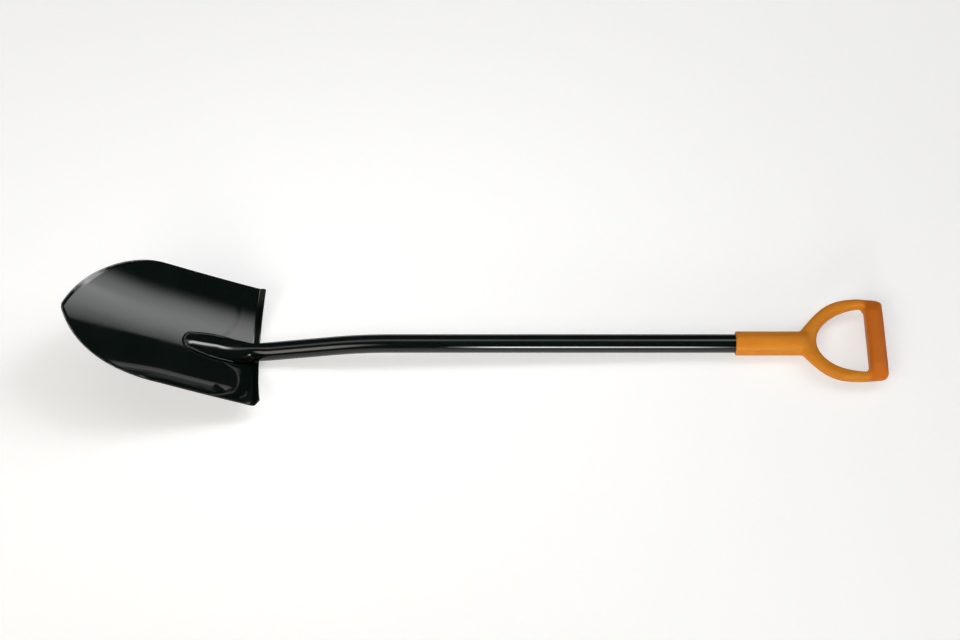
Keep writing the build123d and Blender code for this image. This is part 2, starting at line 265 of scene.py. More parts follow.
# Wear that eats in from an edge in broken patches.
def edgeWear():
    tree, given, out = newGroup("edgeWear", {"Edge": 0.0, "Reach": 0.5}, ("Mask",))
    place = given.outputs["Place"]
    broken = grain(tree, place, 0.004, 3.0) * 0.7 + grain(tree, place, 0.03, 2.0) * 0.5 - 0.6
    edge = Flow(tree, given.outputs["Edge"]) + broken
    start = Flow(tree, given.outputs["Reach"]) * -1.0 + 1.0
    tree.links.new(edge.between(start, start + 0.15, True).socket, out.inputs["Mask"])
    return tree


# A breath of dust on what faces up.
def restingDust():
    tree, given, out = newGroup("restingDust", {"Amount": 0.02}, ("Mask",))
    face = tree.nodes.new("ShaderNodeSeparateXYZ")
    tree.links.new(tree.nodes.new("ShaderNodeNewGeometry").outputs["Normal"], face.inputs[0])
    up = Flow(tree, face.outputs["Z"]).between(0.2, 1.0, True)
    patches = grain(tree, given.outputs["Place"], 0.05, 4.0).between(0.35, 0.75, True)
    fine = grain(tree, given.outputs["Place"], 0.0009, 1.0).between(0.4, 0.8)
    tree.links.new((up * (patches + 0.3) * fine * Flow(tree, given.outputs["Amount"])).socket,
                   out.inputs["Mask"])
    return tree


skinGroup, wearGroup, dustGroup = paintSkin(), edgeWear(), restingDust()


# Materials

class Finish:
    def __init__(self, name):
        self.paint = bpy.data.materials.new(name)
        self.paint.use_nodes = True
        self.tree = self.paint.node_tree
        self.shader = self.tree.nodes["Principled BSDF"]
        self.place = self.tree.nodes.new("ShaderNodeTexCoord").outputs["Object"]

    def fixed(self, name, value):
        self.shader.inputs[name].default_value = value

    def group(self, group, **values):
        node = self.tree.nodes.new("ShaderNodeGroup")
        node.node_tree = group
        self.tree.links.new(self.place, node.inputs["Place"])
        for name, value in values.items():
            if isinstance(value, Flow):
                self.tree.links.new(value.socket, node.inputs[name])
            else:
                node.inputs[name].default_value = value
        return {socket.name: Flow(self.tree, socket) for socket in node.outputs}

    def mix(self, share, first, second):
        node = self.tree.nodes.new("ShaderNodeMix")
        node.data_type = "RGBA"
        self.tree.links.new(share.socket, node.inputs[0])
        for slot, given in ((node.inputs[6], first), (node.inputs[7], second)):
            if isinstance(given, tuple):
                slot.default_value = (*given, 1)
            else:
                self.tree.links.new(given, slot)
        return node.outputs[2]

    def feed(self, name, flow):
        self.tree.links.new(flow.socket if isinstance(flow, Flow) else flow, self.shader.inputs[name])

    def bump(self, height, depth):
        node = self.tree.nodes.new("ShaderNodeBump")
        node.inputs["Distance"].default_value = depth
        self.tree.links.new(height.socket, node.inputs["Height"])
        self.tree.links.new(node.outputs["Normal"], self.shader.inputs["Normal"])


coat = {
    "colour": (0.0018, 0.0045, 0.0032),
    "cloudColour": (0.004, 0.0075, 0.0062),
    "dustColour": (0.30, 0.29, 0.27),
    "groundSteel": (0.15, 0.15, 0.155),
    "gloss": 0.05,
    "specular": 0.4,
    "dust": 0.012,
    "wearReach": 0.30,
}


# Black gloss paint; where groundEdge is set, the sharpened rim shows worn steel.
def blackGloss(name, peel, depth, groundEdge=False, lumps=0.0):
    finish = Finish(name)
    skin = finish.group(skinGroup, Peel=peel, Gloss=coat["gloss"])
    dust = finish.group(dustGroup, Amount=coat["dust"])["Mask"]
    colour = finish.mix(skin["Cloud"].least(1.0), coat["colour"], coat["cloudColour"])
    colour = finish.mix(dust, colour, coat["dustColour"])
    rough, height = skin["Roughness"] + dust, skin["Height"]
    if lumps:
        height = height + grain(finish.tree, finish.place, 0.0018, 2.0) * lumps
    if groundEdge:
        edge = finish.tree.nodes.new("ShaderNodeAttribute")
        edge.attribute_name = "ground"
        worn = Flow(finish.tree, edge.outputs["Fac"])
        wear = finish.group(wearGroup, Edge=worn, Reach=coat["wearReach"])["Mask"]
        grind = grain(finish.tree, finish.place, 0.0006, 2.0, (4.0, 0.6, 1.0))
        colour = finish.mix(wear, colour, coat["groundSteel"])
        rough = rough + wear * (grind * 0.25 + 0.28)
        height = height + wear * (grind - 1.5)
        finish.feed("Metallic", wear)
    finish.feed("Base Color", colour)
    finish.feed("Roughness", rough)
    finish.fixed("Specular IOR Level", coat["specular"])
    finish.bump(height, depth)
    return finish.paint


plastic = {
    "colour": (0.70, 0.21, 0.006),
    "paleColour": (0.76, 0.28, 0.012),
    # painted shade: a darker, redder orange for the crossbar, standing in for the shade it sits in
    "barShadeColour": (0.68, 0.165, 0.007),
    "rubbedColour": (0.80, 0.33, 0.05),
    "seamHeight": 8.8,
    "seamHalfWidth": 0.35,
    "grainDepth": 0.00004,
    "loopStart": (0.462, 0.468),
    "barStart": (0.5475, 0.5535),
    "specular": 0.25,
}


# Moulded orange plastic: spark-eroded grain, a parting line round the loop, hand-rubbed edges, and painted
# shade on the crossbar, which is coloured a darker, redder orange than the loop.
def orangeGrip():
    finish = Finish("orange_plastic")
    tree = finish.tree
    laid = tree.nodes.new("ShaderNodeMapping")
    laid.vector_type = "TEXTURE"
    laid.inputs["Location"].default_value = (restX, 0, restZ)
    laid.inputs["Rotation"].default_value = (0, rest["tilt"], 0)
    tree.links.new(finish.place, laid.inputs["Vector"])
    split = tree.nodes.new("ShaderNodeSeparateXYZ")
    tree.links.new(laid.outputs[0], split.inputs[0])
    x, z = Flow(tree, split.outputs["X"]), Flow(tree, split.outputs["Z"])
    fine = grain(tree, finish.place, 0.0011, 2.0)
    broad = grain(tree, finish.place, 0.035, 3.0)
    flow = grain(tree, finish.place, 0.012, 2.0, (0.35, 1.6, 1.6))
    # painted shade: mask that turns the crossbar a darker, redder orange
    barShade = x.between(*plastic["barStart"], True)
    fromSeam = (z - plastic["seamHeight"] * mm).size()
    seam = (fromSeam.between(plastic["seamHalfWidth"] * mm, 0.0, True)
            * x.between(*plastic["loopStart"]))
    crease = tree.nodes.new("ShaderNodeNewGeometry").outputs["Pointiness"]
    wear = finish.group(wearGroup, Edge=Flow(tree, crease).between(0.5, 0.56), Reach=0.30)["Mask"]
    dust = finish.group(dustGroup, Amount=0.03)["Mask"]
    streaks = (broad * 0.6 + flow * 0.6).between(0.35, 0.85)
    colour = finish.mix(streaks, plastic["colour"], plastic["paleColour"])
    colour = finish.mix(barShade, colour, plastic["barShadeColour"])
    colour = finish.mix(wear * 0.35, colour, plastic["rubbedColour"])
    colour = finish.mix(dust, colour, coat["dustColour"])
    finish.feed("Base Color", colour)
    finish.feed("Roughness", fine * 0.14 + broad * 0.12 + 0.34 - wear * 0.10 + dust)
    finish.fixed("Specular IOR Level", plastic["specular"])
    finish.bump(fine + seam * 3.0, plastic["grainDepth"])
    return finish.paint


zinc = {"colour": (0.46, 0.46, 0.45), "paleColour": (0.62, 0.60, 0.55)}


# Zinc-plated steel, cloudy, with a fine tooth.
def zincSteel():
    finish = Finish("zinc_steel")
    clouds = grain(finish.tree, finish.place, 0.004, 3.0)
    marks = grain(finish.tree, finish.place, 0.0004, 2.0)
    finish.feed("Base Color", finish.mix(clouds.between(0.35, 0.7), zinc["colour"], zinc["paleColour"]))
    finish.feed("Roughness", clouds * 0.2 + marks * 0.1 + 0.2)
    finish.fixed("Metallic", 1.0)
    finish.bump(marks, 0.00002)
    return finish.paint


bladePaint = blackGloss("blade_gloss", 0.5, 0.000009, groundEdge=True)
shaftPaint = blackGloss("shaft_gloss", 0.35, 0.000007)
weldPaint = blackGloss("weld_gloss", 0.8, 0.00003, lumps=2.0)
orangePlastic = orangeGrip()
screwSteel = zincSteel()
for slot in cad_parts["grip_screw"].material_slots:
    slot.material = screwSteel
print("materials made")

# Blade

blade = {
    "Length": 292.0,
    "Width": 192.6,
    "Point Length": 134.7,
    "Tip Radius": 12.0,
    "Dish Radius": 155.0,
    "Valley Sag": 2.5,
    "Tread Depth": 10.5,
    "Tread Bend": 4.0,
    "Tread Corner": 3.0,
    "Tread Taper": 2.5,
    "Bevel Width": 3.0,
    "Bevel Depth": 0.8,
    "Panel Rise": 0.3,
    "Point Flatness": 0.22,
    "Rim Inset": 1.3,
}
bladeAngles = {"Tread Angle": math.radians(60.0), "Heel Lean": math.radians(16.6)}
bladeGrid = {"Rows": 230, "Columns": 150}
bladeRows = {"treadEnd": 0.045, "bendEnd": 0.1, "crowding": 1.35, "tipGap": 0.9}
bladeFade = {"flat": (140.0, 290.0), "lean": 130.0, "bevel": 30.0, "bevelSlant": 0.3}
panelEdge = {
    "deepest": 56.0,
    "outerSpan": 39.0,
    "outerRise": 24.0,
    "innerSpan": 26.0,
    "innerRise": 11.0,
    "start": 27.0,
    "softness": 4.5,
    "fade": (88.0, 68.0),
}
bladeSheet = 2.0
rimSwell = 0.45
rimProfile = ((0.12, 0.35), (0.35, 0.85), (0.65, 0.85), (0.88, 0.35))
rimWear = {"back": 0.6, "rim": 1.15, "fall": 0.5}


# The sheet's face: a dished tongue with a rounded point and a tread folded up at the heel.
def bladeTree():
    tree = bpy.data.node_groups.new("pressedBlade", "GeometryNodeTree")
    tree.interface.new_socket("Geometry", in_out="INPUT", socket_type="NodeSocketGeometry")
    for name in blade:
        addInput(tree, name, "NodeSocketFloat", blade[name])
    for name in bladeAngles:
        addInput(tree, name, "NodeSocketFloat", bladeAngles[name])
    for name in bladeGrid:
        addInput(tree, name, "NodeSocketInt", bladeGrid[name])
    tree.interface.new_socket("Paint", in_out="INPUT", socket_type="NodeSocketMaterial")
    tree.interface.new_socket("Geometry", in_out="OUTPUT", socket_type="NodeSocketGeometry")
    nodes, links = tree.nodes, tree.links
    given = nodes.new("NodeGroupInput")

    def named(name):
        return Flow(tree, given.outputs[name])

    grid = nodes.new("GeometryNodeMeshGrid")
    grid.inputs["Size X"].default_value = 1.0
    grid.inputs["Size Y"].default_value = 2.0
    links.new(given.outputs["Rows"], grid.inputs["Vertices X"])
    links.new(given.outputs["Columns"], grid.inputs["Vertices Y"])
    place = nodes.new("ShaderNodeSeparateXYZ")
    links.new(nodes.new("GeometryNodeInputPosition").outputs[0], place.inputs[0])
    along = Flow(tree, place.outputs["X"]) + 0.5
    across = (Flow(tree, place.outputs["Y"]) * (math.pi / 2)).sine()

    length, sag = named("Length"), named("Valley Sag")
    half = named("Width") * 0.5
    radius, bend = named("Dish Radius"), named("Tread Bend")
    fold, lean = named("Tread Angle"), named("Heel Lean").maths("TANGENT")
    pointLength, tip = named("Point Length"), named("Tip Radius")

    # the ogive's flank and the round tip that touches it inside
    flank = (pointLength * pointLength + half * half) / (half * 2.0)
    pointStart = length - pointLength
    tipCentre = ((flank - tip).power(2.0) - (flank - half).power(2.0)).root()
    touch = pointStart + flank * tipCentre / (flank - tip)
    reach = pointStart + tipCentre + tip - bladeRows["tipGap"]

    # share of the rows for the tread, its bend and the long face
    treadEnd, bendEnd = bladeRows["treadEnd"], bladeRows["bendEnd"]
    strip = (along.between(0.0, treadEnd) * -1.0 + 1.0) * named("Tread Depth")
    turned = (along.between(treadEnd, bendEnd) * -1.0 + 1.0) * fold
    gone = along.between(bendEnd, 1.0)
    a = reach * ((gone * -1.0 + 1.0).power(bladeRows["crowding"]) * -1.0 + 1.0)
    slope = (sag * 4.0 / length).maths("ARCTANGENT")
    share = a / length
    x = (a * -1.0 + bend * ((slope + turned).sine() - slope.sine())
         + strip * (slope + fold).cosine())
    rise = (sag * -4.0 * share * (share * -1.0 + 1.0)
            + bend * (slope.cosine() - (slope + turned).cosine())
            + strip * (slope + fold).sine())
    swing = radius - rise

    # half width: straight flanks, ogive, tip and the tread's round corners
    past = (a - pointStart).most(0.0)
    ogive = half - flank + (flank * flank - past * past).root()
    tipArc = (tip * tip - (a - pointStart - tipCentre).power(2.0)).root()
    side = ogive + (tipArc - ogive) * a.above(touch)
    corner = named("Tread Corner")
    treadTop = (bend * (slope.cosine() - (slope + fold).cosine())
                + named("Tread Depth") * (slope + fold).sine())
    treadReach = (bend * ((slope + fold).sine() - slope.sine())
                  + named("Tread Depth") * (slope + fold).cosine())

    def edgeRise(height):
        return radius - ((radius - height).power(2.0) - half * half).root()

    fromEdge = ((treadReach - edgeRise(treadTop) * lean) - (x - edgeRise(rise) * lean)).most(0.0)
    cut = corner - (corner * corner - (corner - fromEdge.least(corner)).power(2.0)).root()
    width = side - cut - named("Rim Inset") - along.between(treadEnd, 0.0) * named("Tread Taper")
    y = width * across
    flatter = a.between(*bladeFade["flat"], True) * named("Point Flatness") * -1.0 + 1.0
    bottom = radius - swing
    dish = bottom + (radius - (swing * swing - y * y).root() - bottom) * flatter

    # pressed step where the bowl ends before the shoulder
    v = y.size()
    deepest, soft = panelEdge["deepest"], panelEdge["softness"]
    outer = (v - deepest).most(0.0) / panelEdge["outerSpan"]
    inner = (v * -1.0 + deepest).most(0.0) / panelEdge["innerSpan"]
    bowlEnd = (outer * outer * panelEdge["outerRise"] + inner * inner * panelEdge["innerRise"]
               + panelEdge["start"])
    panel = ((a - bowlEnd).between(soft, -soft, True) * v.between(*panelEdge["fade"], True)
             * named("Panel Rise"))
    fade = (a / bladeFade["lean"]).least(1.0)
    leaned = x - dish * lean * (fade * -1.0 + 1.0).power(2.0)

    # bevel along the point's edges
    fromSide = (width - v) * (past / flank * -1.0 + 1.0).most(bladeFade["bevelSlant"])
    bevel = (fromSide.between(named("Bevel Width"), 0.0) * past.between(0.0, bladeFade["bevel"])
             * named("Bevel Depth"))

    joined = nodes.new("ShaderNodeCombineXYZ")
    links.new(leaned.socket, joined.inputs["X"])
    links.new(y.socket, joined.inputs["Y"])
    links.new((dish + panel).socket, joined.inputs["Z"])
    setPlace = nodes.new("GeometryNodeSetPosition")
    links.new(joined.outputs[0], setPlace.inputs["Position"])
    store = nodes.new("GeometryNodeStoreNamedAttribute")
    store.data_type = "FLOAT"
    store.domain = "POINT"
    store.inputs["Name"].default_value = "bevel"
    links.new(grid.outputs["Mesh"], store.inputs["Geometry"])
    links.new(bevel.socket, store.inputs["Value"])
    links.new(store.outputs["Geometry"], setPlace.inputs["Geometry"])
    realize = nodes.new("GeometryNodeRealizeInstances")
    links.new(setPlace.outputs["Geometry"], realize.inputs["Geometry"])
    finish = nodes.new("GeometryNodeSetMaterial")
    links.new(realize.outputs["Geometry"], finish.inputs["Geometry"])
    links.new(given.outputs["Paint"], finish.inputs["Material"])
    done = nodes.new("NodeGroupOutput")
    links.new(finish.outputs["Geometry"], done.inputs["Geometry"])
    return tree


# The face sheet gets its back, one sheet below, and a rounded rim between them.
def closeSheet(sheet, rows, columns):
    count = rows * columns
    face = [vertex.co.copy() for vertex in sheet.vertices]
    normals = [vertex.normal.copy() for vertex in sheet.vertices]
    bevel = [item.value for item in sheet.attributes["bevel"].data]
    flip = -1.0 if normals[count // 2].z < 0 else 1.0
    normals = [normal * flip for normal in normals]

    def at(row, column):
        return row * columns + column

    points = [face[i] - normals[i] * bevel[i] for i in range(count)]
    points += [face[i] - normals[i] * bladeSheet for i in range(count)]
    ground = [depth / blade["Bevel Depth"] for depth in bevel]
    ground += [share * rimWear["back"] for share in ground]
    faces = []
    for row in range(rows - 1):
        for column in range(columns - 1):
            ring = (at(row, column), at(row + 1, column), at(row + 1, column + 1), at(row, column + 1))
            faces.append(ring)
            faces.append(tuple(count + i for i in reversed(ring)))
    rim = [at(0, c) for c in range(columns)]
    rim += [at(r, columns - 1) for r in range(1, rows)]
    rim += [at(rows - 1, c) for c in reversed(range(columns - 1))]
    rim += [at(r, 0) for r in reversed(range(1, rows - 1))]
    total = len(rim)
    loops = [rim]
    for depth, swell in rimProfile:
        loop = []
        for order, i in enumerate(rim):
            before, after = face[rim[order - 1]], face[rim[(order + 1) % total]]
            away = (after - before).cross(normals[i]).normalized()
            thick = bladeSheet - bevel[i]
            loop.append(len(points))
            points.append(points[i] - normals[i] * thick * depth + away * swell * rimSwell)
            ground.append(ground[i] * (rimWear["rim"] - depth * rimWear["fall"]))
        loops.append(loop)
    loops.append([count + i for i in rim])
    for inner, outer in zip(loops, loops[1:]):
        for order in range(total):
            follow = (order + 1) % total
            faces.append((inner[order], outer[order], outer[follow], inner[follow]))
    mesh = bpy.data.meshes.new("blade")
    mesh.from_pydata([bladeFrame @ point for point in points], [], faces)
    mesh.attributes.new("ground", "FLOAT", "POINT").data.foreach_set("value", ground)
    mesh.transform(layDown)
    smoothMesh(mesh)
    outwards(mesh)
    return mesh


def makeBlade():
    seed = addObject("bladeSeed", bpy.data.meshes.new("bladeSeed"))
    modifier = seed.modifiers.new("pressedBlade", "NODES")
    modifier.node_group = bladeTree()
    setInputs(modifier, {**blade, **bladeAngles, **bladeGrid, "Paint": bladePaint})
    sheet = bake(seed, "bladeSheet")
    mesh = closeSheet(sheet.data, bladeGrid["Rows"], bladeGrid["Columns"])
    bpy.data.objects.remove(sheet)
    mesh.materials.append(bladePaint)
    piece = addObject("shovelBlade", mesh)
    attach(piece, "root")
    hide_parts("blade")
    print("blade made,", len(mesh.polygons), "faces")


makeBlade()

# Shaft: a straight tube with a slight crank, its lower end bent and pressed flat on the blade

shaft = {
    "radius": 13.45,
    "top": 449.0,
    "crankX": -169.4,
    "crankAngle": math.radians(9.9),
    "crankRadius": 480.0,
    "crown": 140.0,
    "foot": 30.0,
    "seat": 0.3,
    "noseLength": 105.0,
    "noseWidth": 34.0,
    "noseEndWidth": 23.0,
    "noseRound": 11.0,
    "noseSlope": math.radians(9.0),
    "noseTipHeight": 5.0,
    "noseTipShare": 0.35,
    "pressedWaist": 0.3,
    "pressedPower": 1.5,
    "pressedDelay": 4,
    "capSoftness": 1.5,
    "taperPower": 1.5,
    "around": 72,
}
shaftSteps = {"straight": 24, "crank": 16, "bend": 32, "flat": 18, "end": 14}


def valley(x):
    share = min(max(-x / blade["Length"], 0.0), 1.0)
    return -4 * blade["Valley Sag"] * share * (1 - share)


def faceHeight(x, y):
    return blade["Dish Radius"] - math.sqrt((blade["Dish Radius"] - valley(x)) ** 2 - y * y)


neckTurn = rest["bladeLift"] + shaft["crankAngle"]
crank = bladeFrame.inverted() @ Vector((shaft["crankX"], 0, 0))


def neckLine(x):
    return crank.z + (x - crank.x) * math.tan(neckTurn)


def ovalHalfWidth(halfHeight):
    girth = 2 * math.pi * shaft["radius"]
    low, high = 0.0, girth / 2
    for _ in range(40):
        wide = (low + high) / 2
        around = math.pi * (3 * (wide + halfHeight)
                            - math.sqrt((3 * wide + halfHeight) * (wide + 3 * halfHeight)))
        low, high = (wide, high) if around < girth else (low, wide)
    cap, soft = shaft["noseWidth"] / 2, shaft["capSoftness"]
    return -math.log(math.exp(-low * soft) + math.exp(-cap * soft)) / soft


# Height of the nose's upper line over the blade.
def noseTop(x):
    fromTip = x + shaft["noseLength"] - shaft["noseRound"]
    return shaft["noseTipHeight"] + fromTip * math.tan(shaft["noseSlope"])


# Places on the bend's upper and lower line, share 0 to 1 from round to pressed.
def bendPlaces(share):
    half = shaft["radius"] / math.cos(neckTurn)
    neck = neckLine(0) - shaft["seat"]
    crown, foot, slope = shaft["crown"], shaft["foot"], shaft["noseSlope"]
    cornerX = (noseTop(0) - neck - half) / (math.tan(neckTurn) - math.tan(slope))
    pull = crown * math.tan((neckTurn - slope) / 2)
    flat = Vector((cornerX - pull * math.cos(slope), 0, noseTop(cornerX) - pull * math.sin(slope)))

    def onCrown(angle):
        ahead, lift = math.sin(angle) - math.sin(slope), math.cos(slope) - math.cos(angle)
        return flat + crown * Vector((ahead, 0, lift))

    upper = onCrown(neckTurn + (slope - neckTurn) * share)
    across = Vector((math.sin(neckTurn), 0, -math.cos(neckTurn)))
    start = onCrown(neckTurn) + across * 2 * shaft["radius"]
    lowerCorner = (half - neck) / math.tan(neckTurn)
    pull = foot * math.tan(neckTurn / 2)
    corner = Vector((lowerCorner, 0, 0))
    firstRun = (start - corner).length - pull
    bendRun = foot * neckTurn
    lastRun = lowerCorner - pull - flat.x
    gone = share * (firstRun + bendRun + lastRun)
    if gone < firstRun:
        lower = start + (corner - start).normalized() * gone
    elif gone < firstRun + bendRun:
        left = neckTurn - (gone - firstRun) / foot
        lower = Vector((lowerCorner - pull + foot * math.sin(left), 0, foot * (1 - math.cos(left))))
    else:
        lower = Vector((lowerCorner - pull - (gone - firstRun - bendRun), 0, 0))
    return lower, upper


# Lower point, upper point, half width and share pressed of each ring of the lower end.
def pressedStations():
    stations = []
    bendSteps, flatSteps, endSteps = shaftSteps["bend"], shaftSteps["flat"], shaftSteps["end"]
    for step in range(bendSteps + 1):
        share = step / bendSteps
        lower, upper = bendPlaces(share)
        stations.append((lower, upper, ovalHalfWidth((upper - lower).length / 2), share))
    flatX, flatHalf = stations[-1][0].x, stations[-1][2]
    roundX = shaft["noseRound"] - shaft["noseLength"]
    endHalf = shaft["noseEndWidth"] / 2
    runs = [flatX + (roundX - flatX) * step / flatSteps for step in range(1, flatSteps + 1)]
    runs += [roundX - shaft["noseRound"] * math.sin(math.pi / 2 * step / endSteps)
             for step in range(1, endSteps)]
    for x in runs:
        if x >= roundX:
            share = ((flatX - x) / (flatX - roundX)) ** shaft["taperPower"]
            half = flatHalf + share * (endHalf - flatHalf)
            height = noseTop(x)
        else:
            half = endHalf * math.sqrt(1 - ((roundX - x) / shaft["noseRound"]) ** 2)
            full = half / endHalf
            height = noseTop(x) * (shaft["noseTipShare"] + (1 - shaft["noseTipShare"]) * full)
        stations.append((Vector((x, 0, 0)), Vector((x, 0, height)), half, 1.0))
    return stations


def tubeRings():
    rings = []

    def addRing(lower, upper, half, pressed, turn):
        smooth = pressed * pressed * (3 - 2 * pressed)
        waist = 0.5 + (shaft["pressedWaist"] - 0.5) * smooth
        bulge = 2 / (2 + (shaft["pressedPower"] - 2) * pressed ** shaft["pressedDelay"])
        middle = lower + (upper - lower) * waist
        ring = []
        for step in range(shaft["around"]):
            angle = 2 * math.pi * step / shaft["around"]
            wide, high = math.cos(angle), math.sin(angle)
            if high > 0:
                wide = math.copysign(abs(wide) ** bulge, wide)
                point = middle + (upper - middle) * high ** bulge
            else:
                point = middle + (middle - lower) * high
            ring.append(turn @ (point + Vector((0, wide * half, 0))))
        rings.append(ring)

    radius, bendAway = shaft["radius"], shaft["crankRadius"]
    level = Matrix.Identity(4)
    straightEnd = shaft["crankX"] + bendAway * math.tan(shaft["crankAngle"] / 2)
    for step in range(shaftSteps["straight"] + 1):
        x = shaft["top"] + (straightEnd - shaft["top"]) * step / shaftSteps["straight"]
        addRing(Vector((x, 0, -radius)), Vector((x, 0, radius)), radius, 0, level)
    for step in range(1, shaftSteps["crank"] + 1):
        angle = shaft["crankAngle"] * step / shaftSteps["crank"]
        spine = Vector((-math.sin(angle), 0, math.cos(angle)))
        centre = Vector((straightEnd, 0, -bendAway)) + spine * bendAway
        addRing(centre - spine * radius, centre + spine * radius, radius, 0, level)
    for lower, upper, half, pressed in pressedStations():
        lift = Vector((0, 0, shaft["seat"] + valley((lower.x + upper.x) / 2)))
        addRing(lower + lift, upper + lift, half, pressed, bladeFrame)
    return rings


def makeShaft():
    mesh = skinRings("shaftTube", tubeRings())
    mesh.transform(layDown)
    outwards(mesh)
    mesh.materials.append(shaftPaint)
    piece = addObject("shaftTube", mesh)
    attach(piece, "root")
    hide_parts("shaft_tube")
    print("shaft made,", len(mesh.polygons), "faces")


makeShaft()

# Weld beads: ripples laid along a path

bead = {
    "Step": 0.35,
    "Radius": 2.3,
    "Ripple Pitch": 2.1,
    "Ripple Height": 0.3,
    "Unevenness": 0.22,
    "Seed": 4.0,
}
beadForm = {"pace": 0.35, "drift": 0.5, "crest": 0.6, "endLength": 3.0, "thinning": 0.65}
noseRoute = {"start": -26.0, "every": 3, "beside": 0.7, "beyond": 0.9, "height": 1.0}
shoulderBead = {"Radius": 2.8, "Seed": 9.0}
shoulderRoute = {"shares": (0.0, 0.35, 0.7, 1.0), "beside": 0.9, "least": 4.0}


def beadTree():
    tree = bpy.data.node_groups.new("weldBead", "GeometryNodeTree")
    tree.interface.new_socket("Geometry", in_out="INPUT", socket_type="NodeSocketGeometry")
    for name in bead:
        addInput(tree, name, "NodeSocketFloat", bead[name])
    tree.interface.new_socket("Paint", in_out="INPUT", socket_type="NodeSocketMaterial")
    tree.interface.new_socket("Geometry", in_out="OUTPUT", socket_type="NodeSocketGeometry")
    nodes, links = tree.nodes, tree.links
    given = nodes.new("NodeGroupInput")
    resample = nodes.new("GeometryNodeResampleCurve")
    resample.mode = "LENGTH"
    links.new(given.outputs["Geometry"], resample.inputs["Curve"])
    links.new(given.outputs["Step"], resample.inputs["Length"])
    route = nodes.new("GeometryNodeSplineParameter")
    run = Flow(tree, route.outputs["Length"])
    whole = nodes.new("GeometryNodeSplineLength")
    left = Flow(tree, whole.outputs["Length"]) - run
    noise = nodes.new("ShaderNodeTexNoise")
    noise.noise_dimensions = "1D"
    noise.inputs["Scale"].default_value = 1.0
    links.new((run * beadForm["pace"] + Flow(tree, given.outputs["Seed"])).socket, noise.inputs["W"])
    wander = (Flow(tree, noise.outputs[0]) - 0.5) * 2.0
    phase = (run / Flow(tree, given.outputs["Ripple Pitch"]) + wander * beadForm["drift"]).maths("FRACT")
    ripple = (phase * math.pi).sine().power(beadForm["crest"]) * Flow(tree, given.outputs["Ripple Height"])
    ends = (run.least(left) / beadForm["endLength"]).least(1.0)
    taper = (ends * -1.0 + 1.0).power(2.0) * -beadForm["thinning"] + 1.0
    size = (Flow(tree, given.outputs["Radius"]) + ripple
            + wander * Flow(tree, given.outputs["Unevenness"])) * taper
    sweep = nodes.new("GeometryNodeCurveToMesh")
    profile = nodes.new("GeometryNodeCurvePrimitiveCircle")
    profile.inputs["Resolution"].default_value = 16
    profile.inputs["Radius"].default_value = 1.0
    links.new(resample.outputs["Curve"], sweep.inputs["Curve"])
    links.new(profile.outputs["Curve"], sweep.inputs["Profile Curve"])
    links.new(size.socket, sweep.inputs["Scale"])
    sweep.inputs["Fill Caps"].default_value = True
    realize = nodes.new("GeometryNodeRealizeInstances")
    links.new(sweep.outputs["Mesh"], realize.inputs["Geometry"])
    finish = nodes.new("GeometryNodeSetMaterial")
    links.new(realize.outputs["Geometry"], finish.inputs["Geometry"])
    links.new(given.outputs["Paint"], finish.inputs["Material"])
    done = nodes.new("NodeGroupOutput")
    links.new(finish.outputs["Geometry"], done.inputs["Geometry"])
    return tree


def beadRoutes(name, routes):
    data = bpy.data.curves.new(name, "CURVE")
    data.dimensions = "3D"
    for points in routes:
        spline = data.splines.new("NURBS")
        spline.points.add(len(points) - 1)
        for slot, point in zip(spline.points, points):
            slot.co = (*(bladeFrame @ Vector(point)), 1.0)
        spline.order_u = 3
        spline.use_endpoint_u = True
        spline.resolution_u = 12
    return addObject(name, data)


def makeBead(name, node, routes, tree, sizes):
    route = beadRoutes(name + "Route", routes)
    modifier = route.modifiers.new("weldBead", "NODES")
    modifier.node_group = tree
    setInputs(modifier, {**sizes, "Paint": weldPaint})
    piece = bake(route, name)
    piece.data.transform(layDown)
    smoothMesh(piece.data)
    outwards(piece.data)
    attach(piece, "root")
    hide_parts(node)
    print(name, "made,", len(piece.data.polygons), "faces")


def makeBeads():
    tree = beadTree()
    stations = [s for s in pressedStations() if s[0].x < noseRoute["start"]]
    side = [(low.x, half + noseRoute["beside"]) for low, _, half, _ in stations[::noseRoute["every"]]]
    tip = (-shaft["noseLength"] - noseRoute["beyond"], 0.0)
    loop = side + [tip] + [(x, -y) for x, y in reversed(side)]
    route = [(x, y, faceHeight(x, y) + noseRoute["height"]) for x, y in loop]
    makeBead("noseBead", "nose_weld", [route], tree, bead)
    fold, lean = bladeAngles["Tread Angle"], math.tan(bladeAngles["Heel Lean"])
    bend, depth = blade["Tread Bend"], blade["Tread Depth"]
    routes = []
    for way in (-1, 1):
        route = []
        for share in shoulderRoute["shares"]:
            x = bend * math.sin(fold) + share * depth * math.cos(fold)
            z = bend * (1 - math.cos(fold)) + share * depth * math.sin(fold)
            away = (neckLine(x) - z) * math.cos(neckTurn)
            least = shoulderRoute["least"] ** 2
            y = math.sqrt(max(shaft["radius"] ** 2 - away ** 2, least)) + shoulderRoute["beside"]
            route.append((x - z * lean, way * y, z))
        routes.append(route)
    makeBead("shoulderBeads", "shoulder_welds", routes, tree, {**bead, **shoulderBead})


makeBeads()

# D grip: sleeve, loop and crossbar moulded in one

